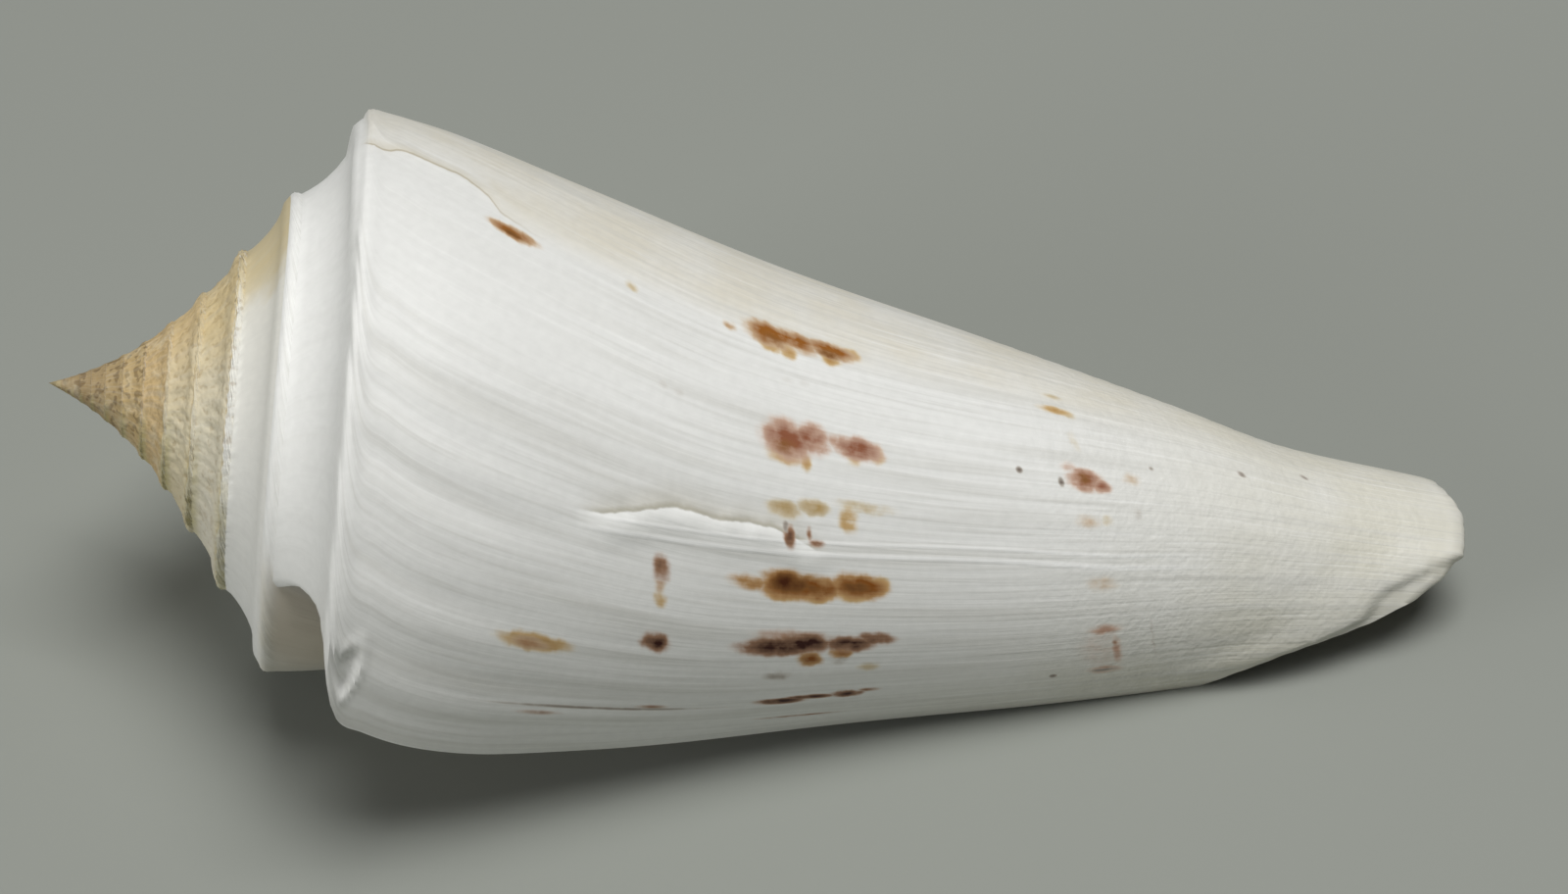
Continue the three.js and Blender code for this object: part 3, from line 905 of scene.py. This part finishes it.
# The blotches lie in two bands round the last turn, with a few strays near the shoulder.
MARKINGS: tuple[Marking, ...] = (
    Marking(-0.293, 9.3, 1.45, 0.5, Tint.OCHRE, 1),
    Marking(-0.292, 9.3, 0.8, 0.3, Tint.UMBER, 0.5),
    Marking(-0.299, 16.3, 0.5, 0.4, Tint.TAN, 0.45),
    Marking(-0.304, 22.2, 0.45, 0.36, Tint.OCHRE, 0.5),
    Marking(-0.309, 24.5, 1.4, 0.85, Tint.OCHRE, 1),
    Marking(-0.311, 26.0, 1.6, 0.75, Tint.OCHRE, 0.95),
    Marking(-0.313, 28.4, 1.5, 0.6, Tint.OCHRE, 0.95),
    Marking(-0.306, 24.8, 0.9, 0.45, Tint.UMBER, 0.35),
    Marking(-0.309, 28.2, 0.9, 0.38, Tint.UMBER, 0.45),
    Marking(-0.300, 24.6, 0.7, 0.5, Tint.GOLD, 0.75),
    Marking(-0.301, 25.6, 0.55, 0.55, Tint.GOLD, 0.75),
    Marking(-0.306, 28.2, 0.6, 0.55, Tint.GOLD, 0.75),
    Marking(-0.315, 29.6, 0.55, 0.46, Tint.GOLD, 0.7),
    Marking(-0.234, 25.1, 1.5, 1.15, Tint.RED, 0.9),
    Marking(-0.239, 26.5, 1.2, 0.9, Tint.RED, 0.8),
    Marking(-0.239, 29.2, 1.5, 0.7, Tint.RED, 0.9),
    Marking(-0.241, 28.0, 0.8, 0.5, Tint.RED, 0.45),
    Marking(-0.229, 24.9, 0.9, 0.5, Tint.UMBER, 0.3),
    Marking(-0.223, 24.9, 1.1, 0.5, Tint.GOLD, 0.6),
    Marking(-0.222, 26.1, 0.4, 0.55, Tint.GOLD, 0.6),
    Marking(-0.237, 30.3, 0.5, 0.55, Tint.GOLD, 0.5),
    Marking(-0.232, 28.9, 0.5, 0.46, Tint.GOLD, 0.5),
    Marking(-0.190, 24.8, 1.15, 0.5, Tint.TAN, 0.8),
    Marking(-0.194, 26.5, 0.95, 0.48, Tint.TAN, 0.85),
    Marking(-0.199, 29.3, 2, 0.4, Tint.TAN, 0.45),
    Marking(-0.189, 28.4, 0.6, 0.8, Tint.GOLD, 0.55),
    Marking(-0.173, 25.0, 0.34, 0.62, Tint.DARK, 0.75),
    Marking(-0.179, 24.8, 0.18, 0.35, Tint.GREY, 0.6),
    Marking(-0.177, 26.2, 0.15, 0.5, Tint.DARK, 0.45),
    Marking(-0.171, 26.6, 0.5, 0.26, Tint.DARK, 0.6),
    Marking(-0.142, 24.9, 1.6, 0.9, Tint.ORANGE, 1),
    Marking(-0.141, 26.4, 1.6, 0.78, Tint.ORANGE, 1),
    Marking(-0.144, 28.9, 1.7, 0.78, Tint.ORANGE, 1),
    Marking(-0.141, 23.0, 1.4, 0.5, Tint.ORANGE, 0.5),
    Marking(-0.143, 25.0, 1.2, 0.6, Tint.UMBER, 0.85),
    Marking(-0.140, 26.5, 0.9, 0.4, Tint.UMBER, 0.4),
    Marking(-0.143, 28.7, 1, 0.45, Tint.UMBER, 0.5),
    Marking(-0.136, 24.8, 1, 0.5, Tint.GOLD, 0.8),
    Marking(-0.136, 26.6, 1.05, 0.5, Tint.GOLD, 0.85),
    Marking(-0.138, 28.6, 1, 0.5, Tint.GOLD, 0.85),
    Marking(-0.146, 30.1, 0.65, 0.55, Tint.GOLD, 0.75),
    Marking(-0.140, 18.0, 0.55, 0.95, Tint.DARK, 0.62),
    Marking(-0.122, 18.0, 0.5, 0.5, Tint.GOLD, 0.5),
    Marking(-0.130, 18.0, 0.36, 0.55, Tint.OCHRE, 0.4),
    Marking(-0.095, 17.8, 0.85, 0.7, Tint.DARK, 0.85),
    Marking(-0.084, 11.4, 2.1, 0.6, Tint.GOLD, 0.7),
    Marking(-0.083, 11.1, 1.2, 0.42, Tint.OCHRE, 0.6),
    Marking(-0.097, 24.4, 2.3, 0.64, Tint.DARK, 0.95),
    Marking(-0.100, 25.9, 1.6, 0.72, Tint.DARK, 1),
    Marking(-0.100, 28.4, 1.5, 0.6, Tint.DARK, 0.85),
    Marking(-0.104, 29.7, 1.2, 0.48, Tint.DARK, 0.7),
    Marking(-0.106, 25.1, 2.4, 0.5, Tint.RED, 0.45),
    Marking(-0.087, 26.2, 0.75, 0.6, Tint.ORANGE, 0.85),
    Marking(-0.092, 27.9, 0.65, 0.45, Tint.ORANGE, 0.7),
    Marking(-0.085, 27.8, 0.6, 0.4, Tint.GREY, 0.35),
    Marking(-0.073, 24.5, 0.95, 0.42, Tint.GREY, 0.45),
    Marking(-0.079, 29.4, 0.8, 0.4, Tint.TAN, 0.4),
    Marking(-0.047, 24.7, 1.5, 0.3, Tint.DARK, 0.9),
    Marking(-0.050, 26.3, 1.5, 0.24, Tint.DARK, 0.8),
    Marking(-0.051, 28.2, 0.95, 0.34, Tint.DARK, 0.85),
    Marking(-0.054, 29.4, 0.8, 0.2, Tint.DARK, 0.45),
    Marking(-0.039, 11.8, 1.5, 0.24, Tint.DARK, 0.32),
    Marking(-0.046, 17.8, 1, 0.24, Tint.DARK, 0.35),
    Marking(-0.044, 15.4, 7.5, 0.14, Tint.GREY, 0.5),
    Marking(-0.026, 25.6, 2.8, 0.15, Tint.DARK, 0.4),
    Marking(-0.242, 18.0, 0.5, 0.36, Tint.GREY, 0.22),
    Marking(-0.242, 18.8, 0.45, 0.3, Tint.GREY, 0.25),
    Marking(-0.277, 25.3, 0.6, 0.3, Tint.GREY, 0.18),
    Marking(-0.278, 26.4, 0.5, 0.3, Tint.GREY, 0.2),
    Marking(-0.308, 41.9, 1.1, 0.3, Tint.GOLD, 0.65),
    Marking(-0.325, 42.1, 0.7, 0.26, Tint.TAN, 0.45),
    Marking(-0.306, 42.8, 0.5, 0.36, Tint.TAN, 0.4),
    Marking(-0.276, 42.5, 0.4, 0.8, Tint.TAN, 0.25),
    Marking(-0.239, 42.6, 1.1, 0.65, Tint.RED, 0.95),
    Marking(-0.240, 42.5, 0.6, 0.4, Tint.UMBER, 0.4),
    Marking(-0.235, 43.4, 0.7, 0.42, Tint.RED, 0.75),
    Marking(-0.249, 41.8, 0.7, 0.4, Tint.RED, 0.35),
    Marking(-0.244, 45.5, 0.7, 0.42, Tint.OCHRE, 0.32),
    Marking(-0.201, 42.3, 0.9, 0.45, Tint.OCHRE, 0.32),
    Marking(-0.203, 43.4, 0.4, 0.4, Tint.TAN, 0.35),
    Marking(-0.146, 42.5, 1.2, 0.55, Tint.OCHRE, 0.28),
    Marking(-0.209, 45.3, 0.34, 0.55, Tint.GREY, 0.25),
    Marking(-0.102, 42.3, 1.1, 0.4, Tint.RED, 0.45),
    Marking(-0.079, 42.9, 0.36, 1.3, Tint.RED, 0.42),
    Marking(-0.055, 42.0, 1.1, 0.36, Tint.RED, 0.45),
    Marking(-0.080, 42.0, 1.6, 1.8, Tint.RED, 0.22),
    Marking(-0.087, 42.8, 0.2, 0.2, Tint.DARK, 0.5),
    Marking(-0.054, 42.0, 0.9, 0.15, Tint.GREY, 0.6),
    Marking(-0.053, 39.3, 0.24, 0.18, Tint.GREY, 0.9),
    Marking(-0.089, 44.9, 0.14, 1.8, Tint.GREY, 0.25),
    Marking(-0.242, 38.7, 0.22, 0.22, Tint.GREY, 0.7),
    Marking(-0.235, 41.1, 0.2, 0.3, Tint.GREY, 0.7),
    Marking(-0.259, 46.9, 0.18, 0.15, Tint.GREY, 0.4),
    Marking(-0.275, 52.9, 0.32, 0.22, Tint.GREY, 0.6),
    Marking(-0.302, 57.6, 0.28, 0.2, Tint.GREY, 0.6),
    Marking(-0.445, 26.5, 2.8, 0.6, Tint.RED, 0.8),
    Marking(-0.512, 25.0, 1.8, 0.8, Tint.ORANGE, 0.95),
    Marking(-0.515, 28.6, 1.5, 0.5, Tint.ORANGE, 0.8),
    Marking(-0.590, 26.6, 2.6, 0.7, Tint.ORANGE, 0.85),
    Marking(-0.672, 25.6, 2.2, 0.6, Tint.RED, 0.8),
    Marking(-0.745, 26.8, 2.5, 0.8, Tint.ORANGE, 0.9),
    Marking(-0.830, 25.9, 1.9, 0.6, Tint.TAN, 0.8),
    Marking(-0.500, 42.0, 0.9, 0.4, Tint.RED, 0.6),
    Marking(-0.615, 42.6, 1.1, 0.4, Tint.ORANGE, 0.6),
    Marking(-0.730, 42.2, 0.8, 0.4, Tint.TAN, 0.6),
    Marking(-0.480, 12.0, 1.2, 0.4, Tint.ORANGE, 0.7),
    Marking(-0.650, 9.0, 1.0, 0.4, Tint.TAN, 0.8),
)


class Grain(Enum):
    """Irregular patterns: size of a grain along and across the growth lines in mm, and its detail.

    A pattern without a size across fills space evenly. CHALK and CRUMB are drawn coarser than real
    chalk, so that they show.
    """

    LINE = (10.0, 0.38, 2.0)
    STREAK = (22.0, 1.4, 2.0)
    CLOUD = (0.85, 1.0, 3.0)
    TOOTH = (0.42, 10.0, 2.0)
    WARP = (1.25, 1.25, 2.0)
    RAG = (1.4, 3.3, 3.0)
    MOTTLE = (3.8, None, 4.0)
    WEAR = (1.4, None, 4.0)
    CHALK = (0.5, None, 2.0)
    CRUMB = (0.38, None, 1.0)


@dataclass(frozen=True)
class Wash:
    """A colour laid over a zone and broken up by a grain.

    Attributes:
        zone: Name of the zone.
        colour: Its colour.
        grain: What breaks it up.
        bare: Value of the grain where least of it shows.
        full: Value of the grain where most of it shows.
        least: Share that shows at the bare value.
        most: Share that shows at the full value.
    """

    zone: str
    colour: str
    grain: Grain
    bare: float
    full: float
    least: float
    most: float


@dataclass(frozen=True)
class Line:
    """A line of colour along one that growth left.

    Attributes:
        along: Name of the distance that it follows.
        zone: Name of the zone that it keeps to.
        colour: Its colour.
        rise: Distances in mm over which it comes up.
        fall: Distances in mm over which it dies away.
        strength: How strongly it shows, 0 to 1.
        rag: How far its edge wanders, in mm.
    """

    along: str
    zone: str
    colour: str
    rise: tuple[float, float]
    fall: tuple[float, float]
    strength: float
    rag: float = 0.0


@dataclass(frozen=True)
class WeatheredAragonite:
    """Chalky white shell that has lain in the sea.

    To the eye it is matt and grainy on the spire and silky on the last turn. Growth lines run along it,
    the spire is stained tan, and brown blotches lie in the white.
    """

    name: str = "weathered_aragonite"
    ages: tuple[tuple[float, str], ...] = (
        (-7.5, "#a08a64"), (-6.0, "#ae976c"), (-5.0, "#bfa676"), (-4.0, "#c9af80"), (-3.25, "#cfb788"),
        (-3.05, "#d6cbac"), (-2.85, "#d5c8a6"), (-2.6, "#ceb889"), (-2.22, "#d1bd90"), (-2.08, "#dbd3bb"),
        (-1.9, "#e0dac8"), (-1.75, "#dad0b4"), (-1.5, "#d2c198"), (-1.235, "#d2c39c"), (-1.2, "#e4e2d8"),
        (-0.9, "#ecece8"),
    )
    age_waver: float = 0.1
    washes: tuple[Wash, ...] = (
        Wash("oldest", "#65502f", Grain.CRUMB, 0.5, 0.62, 0.0, 0.6),
        Wash("spire", "#e2d8ba", Grain.WEAR, 0.5, 0.7, 0.0, 0.4),
        Wash("spire", "#9c8457", Grain.CRUMB, 0.46, 0.3, 0.0, 0.4),
        Wash("suture", "#b9b07c", Grain.MOTTLE, 0.3, 0.65, 0.3, 0.85),
        Wash("cream", "#e4dfd0", Grain.MOTTLE, 0.25, 0.7, 0.35, 1.0),
        Wash("front", "#dbd8c9", Grain.MOTTLE, 0.2, 0.7, 0.5, 1.0),
        Wash("lined", "#d6d5ce", Grain.STREAK, 0.45, 0.7, 0.0, 0.5),
        Wash("lined", "#cfcec7", Grain.LINE, 0.46, 0.76, 0.0, 0.42),
        Wash("side", "#f6f6f2", Grain.LINE, 0.45, 0.25, 0.0, 0.45),
    )
    lines: tuple[Line, ...] = (
        Line("scar", "scarred", "#f6f6f2", (0.0, 0.12), (0.5, 1.6), 1.0, 0.25),
        # Dark line just before the scar: painted shadow at the foot of the scar's step.
        Line("scar", "scarred", "#a9a595", (-0.28, -0.04), (0.0, 0.1), 0.7, 0.25),
        # Olive-grey band just before the scar: partly an olive stain, partly painted shade beside the scar's
        # step.
        Line("scar", "scarred", "#b4ae9b", (-1.3, -0.1), (0.0, 0.1), 0.45, 0.25),
        Line("seam", "seamed", "#fafaf7", (-0.2, -0.05), (0.05, 0.2), 0.9),
        Line("seam", "seamed", "#fafaf7", (-0.75, -0.63), (-0.57, -0.45), 0.7),
        Line("former_lip", "lipped", "#c9bd9c", (-0.9, -0.05), (0.0, 0.15), 0.4, 0.3),
        Line("former_lip", "lipped", "#9a8a66", (-0.12, -0.02), (0.02, 0.12), 0.5, 0.2),
    )
    # Colours of the opening's inside and of the side under the notch; some of them are painted shade.
    linings_and_painted_shade: tuple[Wash, ...] = (
        # Beige-grey under the notch: partly real stain, partly painted shade.
        Wash("under", "#d3cab9", Grain.MOTTLE, 0.2, 0.8, 0.9, 1.0),
        Wash("inside", "#d9d0bf", Grain.MOTTLE, 0.2, 0.8, 1.0, 1.0),
        # Darker beige deep in the opening: painted shade.
        Wash("deep", "#b9a994", Grain.MOTTLE, 0.2, 0.8, 0.9, 1.0),
    )
    mark_swirl: tuple[float, float, float] = (0.55, 0.5, 0.0)
    mark_teeth: tuple[float, float, float] = (0.0, 0.25, 0.0)
    mark_clouds: tuple[float, float] = (0.7, 1.08)
    mark_lines: tuple[float, float] = (0.82, 1.12)
    mark_reach: tuple[float, float] = (1.4, 0.05)
    mark_cover: tuple[float, float] = (0.04, 0.45)
    mark_hues: tuple[float, float] = (0.1, 0.85)
    grain_range: tuple[float, float] = (0.3, 0.7)
    grain_roughness: float = 0.12
    thread_height: float = 0.5
    chalk: tuple[float, float] = (0.975, 1.02)
    bumps: tuple[tuple[Grain, str, float], ...] = (
        (Grain.LINE, "lined", 0.6), (Grain.STREAK, "lined", 0.8), (Grain.CRUMB, "beaded", 1.1),
        (Grain.CHALK, "side", 0.12), (Grain.CRUMB, "spire", 2.2), (Grain.CHALK, "spire", 0.8),
    )
    bump_depth: float = 0.07
    bump_strength: float = 0.6
    silky: float = 0.40
    matt: float = 0.72
    ior: float = 1.53
    sheen: float = 0.22
    thin: float = 0.3

    def build(self, coil: Coil) -> bpy.types.Material:
        """Makes the material.

        Args:
            coil: The winding of the shell, which gives a marking's size on the surface.

        Returns:
            The material.
        """
        material = bpy.data.materials.new(self.name)
        material.use_nodes = True
        tree = material.node_tree
        tree.nodes.clear()
        place = add(tree, "ShaderNodeAttribute", attribute_name="place").outputs["Vector"]
        spot = add(tree, "ShaderNodeTexCoord").outputs["Object"]
        zones = {}
        for zone in Zones.NAMES:
            zones[zone] = add(tree, "ShaderNodeAttribute", attribute_name=zone).outputs["Fac"]
        grains = {}
        for grain in Grain:
            along, across, detail = grain.value
            size = (1 / along, 1 / across, 1.0) if across else (1 / (along * MM),) * 3
            unfitted = {0: place if across else spot, 1: size}
            fitted = add(tree, "ShaderNodeVectorMath", unfitted, operation="MULTIPLY")
            settled = {"Vector": fitted, "Scale": 1.0, "Detail": detail}
            grains[grain] = add(tree, "ShaderNodeTexNoise", settled)

        oldest = self.ages[0][0]
        wavered = {0: grains[Grain.MOTTLE], 1: self.age_waver, 2: zones["age"]}
        aged = add(tree, "ShaderNodeMath", wavered, operation="MULTIPLY_ADD")
        middle = self.age_waver / 2
        shared = add(tree, "ShaderNodeMapRange", {0: aged, 1: oldest + middle, 2: middle})
        ground = add(tree, "ShaderNodeValToRGB", {0: shared})
        set_stops(ground, tuple((1 - age / oldest, colour) for age, colour in self.ages))
        colour = self.washed(tree, ground.outputs[0], self.washes, zones, grains)
        colour, heights = self.lined(tree, colour, zones, grains)
        colour = self.marked(tree, colour, coil, place, zones, grains)
        chalk = add(tree, "ShaderNodeMapRange", {
            0: grains[Grain.CHALK], 1: self.grain_range[0], 2: self.grain_range[1],
            3: self.chalk[0], 4: self.chalk[1],
        })
        colour = add(tree, "ShaderNodeVectorMath", {0: colour, 3: chalk}, operation="SCALE").outputs[0]
        # Lays the inside's colours, with the painted shade under the notch and deep in the opening.
        colour = self.washed(tree, colour, self.linings_and_painted_shade, zones, grains)

        height: object = 0.0
        for grain, zone, weight in self.bumps:
            part = add(tree, "ShaderNodeMath", {0: grains[grain], 1: zones[zone]}, operation="MULTIPLY")
            height = add(tree, "ShaderNodeMath", {0: part, 1: weight, 2: height}, operation="MULTIPLY_ADD")
        for thread in heights:
            raised = {0: thread, 1: self.thread_height, 2: height}
            height = add(tree, "ShaderNodeMath", raised, operation="MULTIPLY_ADD")
        bump = add(tree, "ShaderNodeBump", {
            "Strength": self.bump_strength, "Distance": self.bump_depth * MM, "Height": height,
        })
        rough = add(tree, "ShaderNodeMapRange", {0: zones["spire"], 3: self.silky, 4: self.matt})
        roughened = {0: grains[Grain.CHALK], 1: self.grain_roughness, 2: rough}
        rough = add(tree, "ShaderNodeMath", roughened, operation="MULTIPLY_ADD")
        shader = add(tree, "ShaderNodeBsdfPrincipled", {
            "Base Color": colour, "Roughness": rough, "Normal": bump, "IOR": self.ior,
            "Specular IOR Level": self.sheen,
        })
        add(tree, "ShaderNodeOutputMaterial", {"Surface": shader})
        return material

    @staticmethod
    def washed(
        tree: bpy.types.NodeTree, colour: bpy.types.NodeSocket, washes: tuple[Wash, ...],
        zones: dict[str, bpy.types.NodeSocket], grains: dict[Grain, bpy.types.Node],
    ) -> bpy.types.NodeSocket:
        """Lays washes over a colour.

        Args:
            tree: The material's nodes.
            colour: The colour so far.
            washes: What to lay over it, in order.
            zones: Sockets that give each zone.
            grains: Nodes that give each grain.

        Returns:
            The new colour.
        """
        for wash in washes:
            share = add(tree, "ShaderNodeMapRange", {
                0: grains[wash.grain], 1: wash.bare, 2: wash.full, 3: wash.least, 4: wash.most,
            }, interpolation_type="SMOOTHSTEP")
            share = add(tree, "ShaderNodeMath", {0: share, 1: zones[wash.zone]}, operation="MULTIPLY")
            over = {0: share, 6: colour, 7: linear(wash.colour)}
            colour = add(tree, "ShaderNodeMix", over, data_type="RGBA").outputs[2]
        return colour

    def lined(
        self, tree: bpy.types.NodeTree, colour: bpy.types.NodeSocket,
        zones: dict[str, bpy.types.NodeSocket], grains: dict[Grain, bpy.types.Node],
    ) -> tuple[bpy.types.NodeSocket, list[bpy.types.Node]]:
        """Draws the lines that growth left.

        Args:
            tree: The material's nodes.
            colour: The colour so far.
            zones: Sockets that give each zone and distance.
            grains: Nodes that give each grain.

        Returns:
            The new colour, and the shares of the threads along the seam, which stand proud.
        """
        threads = []
        for line in self.lines:
            wander = {0: grains[Grain.RAG], 1: 2 * line.rag, 2: zones[line.along]}
            past = add(tree, "ShaderNodeMath", wander, operation="MULTIPLY_ADD")
            rise, fall = ([limit + line.rag for limit in limits] for limits in (line.rise, line.fall))
            up = add(tree, "ShaderNodeMapRange", {0: past, 1: rise[0], 2: rise[1], 4: line.strength})
            down = add(tree, "ShaderNodeMapRange", {0: past, 1: fall[1], 2: fall[0]})
            share = add(tree, "ShaderNodeMath", {0: up, 1: down}, operation="MULTIPLY")
            share = add(tree, "ShaderNodeMath", {0: share, 1: zones[line.zone]}, operation="MULTIPLY")
            if line.along == "seam":
                threads.append(share)
            over = {0: share, 6: colour, 7: linear(line.colour)}
            colour = add(tree, "ShaderNodeMix", over, data_type="RGBA").outputs[2]
        return colour, threads

    def marked(
        self, tree: bpy.types.NodeTree, colour: bpy.types.NodeSocket, coil: Coil, place: bpy.types.NodeSocket,
        zones: dict[str, bpy.types.NodeSocket], grains: dict[Grain, bpy.types.Node],
    ) -> bpy.types.NodeSocket:
        """Lays the blotches, with soft edges that follow the fine lines.

        Args:
            tree: The material's nodes.
            colour: The colour so far.
            coil: The winding of the shell.
            place: Socket that gives drop and turn.
            zones: Sockets that give each zone.
            grains: Nodes that give each grain.

        Returns:
            The new colour.
        """
        swirled, toothed = Vector(self.mark_swirl), Vector(self.mark_teeth)
        swirl = {0: grains[Grain.WARP].outputs["Color"], 1: swirled, 2: place}
        warped = add(tree, "ShaderNodeVectorMath", swirl, operation="MULTIPLY_ADD")
        teeth = {0: grains[Grain.TOOTH].outputs["Color"], 1: toothed, 2: warped}
        warped = add(tree, "ShaderNodeVectorMath", teeth, operation="MULTIPLY_ADD")
        centred = {0: warped, 1: (swirled + toothed) / 2}
        warped = add(tree, "ShaderNodeVectorMath", centred, operation="SUBTRACT")
        cloud = add(tree, "ShaderNodeMapRange", {
            0: grains[Grain.CLOUD], 1: 0.3, 2: 0.62, 3: self.mark_clouds[0], 4: self.mark_clouds[1],
        }, interpolation_type="SMOOTHSTEP")
        combed = add(tree, "ShaderNodeMapRange", {
            0: grains[Grain.LINE], 1: self.grain_range[0], 2: self.grain_range[1],
            3: self.mark_lines[0], 4: self.mark_lines[1],
        })
        cloud = add(tree, "ShaderNodeMath", {0: cloud, 1: combed}, operation="MULTIPLY")
        cloud = add(tree, "ShaderNodeMath", {0: cloud, 1: zones["side"]}, operation="MULTIPLY")
        for tint in Tint:
            amount: object = 0.0
            for mark in (m for m in MARKINGS if m.tint is tint):
                half = (
                    mark.half_length / float(coil.size(mark.turn)),
                    mark.half_width / float(coil.girth(mark.turn, mark.drop)) * Zones.PLACES_PER_TURN,
                )
                away = add(tree, "ShaderNodeVectorMath", {
                    0: warped if mark.half_width > self.thin else place, 1: (1 / half[0], 1 / half[1], 0.0),
                    2: (-mark.drop / half[0], -mark.turn * Zones.PLACES_PER_TURN / half[1], 0.0),
                }, operation="MULTIPLY_ADD")
                reach = add(tree, "ShaderNodeVectorMath", {0: away}, operation="LENGTH").outputs["Value"]
                patch = add(tree, "ShaderNodeMapRange", {
                    0: reach, 1: self.mark_reach[0], 2: self.mark_reach[1], 3: 0.0, 4: mark.strength,
                }, interpolation_type="SMOOTHSTEP")
                amount = add(tree, "ShaderNodeMath", {0: amount, 1: patch}, operation="MAXIMUM")
            amount = add(tree, "ShaderNodeMath", {0: amount, 1: cloud}, operation="MULTIPLY")
            hue = add(tree, "ShaderNodeValToRGB", {0: amount})
            set_stops(hue, tuple(zip(self.mark_hues, tint.value)))
            share = add(tree, "ShaderNodeMapRange", {
                0: amount, 1: self.mark_cover[0], 2: self.mark_cover[1],
            }, interpolation_type="SMOOTHSTEP")
            colour = add(tree, "ShaderNodeMix", {0: share, 6: colour, 7: hue}, data_type="RGBA").outputs[2]
        return colour


@dataclass(frozen=True)
class SoftLight:
    """A square lamp that faces the shell.

    Attributes:
        name: Name of the lamp.
        place: Where it hangs, in metres.
        width: Length of its side, in metres.
        power: Power in watts.
    """

    name: str
    place: tuple[float, float, float]
    width: float
    power: float


@dataclass(frozen=True)
class Studio:
    """A plain floor, soft light and the camera."""

    floor_colour: str = "#92958e"
    floor_width: float = 4.0
    air: str = "#f4f6f5"
    air_strength: float = 0.09
    lights: tuple[SoftLight, ...] = (
        SoftLight("key", (0.12, -0.05, 0.69), 0.36, 4.3), SoftLight("fill", (-0.54, -0.24, 0.2), 0.3, 1.2),
    )
    target: tuple[float, float, float] = (1.30, 0.0, 12.45)
    elevation: float = 44.47
    azimuth: float = 3.06
    tilt: float = -3.44
    distance: float = 225.8
    pixels_per_mm: float = 19.402
    image_width: int = 1600
    sensor: float = 36.0

    def floor(self) -> bpy.types.Object:
        """Lays the floor.

        Returns:
            The floor.
        """
        bpy.ops.object.select_all(action="DESELECT")
        bpy.ops.mesh.primitive_plane_add(size=self.floor_width, location=(0, 0, 0))
        floor = bpy.context.object
        floor.name = "floor"
        paper = bpy.data.materials.new("matt_card")
        paper.use_nodes = True
        shader = paper.node_tree.nodes["Principled BSDF"]
        shader.inputs["Base Color"].default_value = linear(self.floor_colour)
        shader.inputs["Roughness"].default_value = 0.9
        floor.data.materials.append(paper)
        return floor

    def light(self) -> None:
        """Hangs the lamps and sets the light of the room."""
        world = bpy.data.worlds.new("room")
        world.use_nodes = True
        air = world.node_tree.nodes["Background"]
        air.inputs["Color"].default_value = linear(self.air)
        air.inputs["Strength"].default_value = self.air_strength
        bpy.context.scene.world = world
        for lamp in self.lights:
            data = bpy.data.lights.new(lamp.name, "AREA")
            data.shape = "SQUARE"
            data.size = lamp.width
            data.energy = lamp.power
            lit = bpy.data.objects.new(lamp.name, data)
            lit.location = lamp.place
            lit.rotation_euler = (-Vector(lamp.place)).to_track_quat("-Z", "Y").to_euler()
            bpy.context.collection.objects.link(lit)

    def camera(self) -> None:
        """Sets the camera where the photograph was taken from."""
        high, turned, tilt = (math.radians(a) for a in (self.elevation, self.azimuth, self.tilt))
        level = Vector((math.cos(turned), math.sin(turned), 0.0))
        away = Vector((-math.sin(turned), math.cos(turned), 0.0))
        ahead = away * math.cos(high) - Vector((0.0, 0.0, math.sin(high)))
        up = level.cross(ahead)
        right = level * math.cos(tilt) + up * math.sin(tilt)
        up = up * math.cos(tilt) - level * math.sin(tilt)
        data = bpy.data.cameras.new("camera")
        data.sensor_fit = "HORIZONTAL"
        data.sensor_width = self.sensor
        data.lens = self.sensor * self.pixels_per_mm * self.distance / self.image_width
        data.clip_start = 0.01
        eye = bpy.data.objects.new("camera", data)
        eye.matrix_world = Matrix.Translation((Vector(self.target) - ahead * self.distance) * MM) @ Matrix(
            (right, up, -ahead)
        ).transposed().to_4x4()
        bpy.context.collection.objects.link(eye)
        bpy.context.scene.camera = eye


def main() -> None:
    """Builds the shell, its finish and the studio, and reports each piece."""
    logging.basicConfig(level=logging.INFO, format="%(message)s", force=True)
    coil = Coil()
    maker = ConeShell(coil, Relief())
    shell = maker.build()
    shell.data.materials.clear()
    shell.data.materials.append(WeatheredAragonite().build(coil))
    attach(shell, "root")
    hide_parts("shell")
    triangles = sum(len(face.vertices) - 2 for face in shell.data.polygons)
    LOG.info("%s: %d triangles, %d open edges", shell.name, triangles, maker.open_edges(shell))
    bpy.context.scene.view_settings.view_transform = "Standard"
    studio = Studio()
    LOG.info("%s laid", studio.floor().name)
    studio.light()
    studio.camera()


if __name__ == "__main__":
    main()
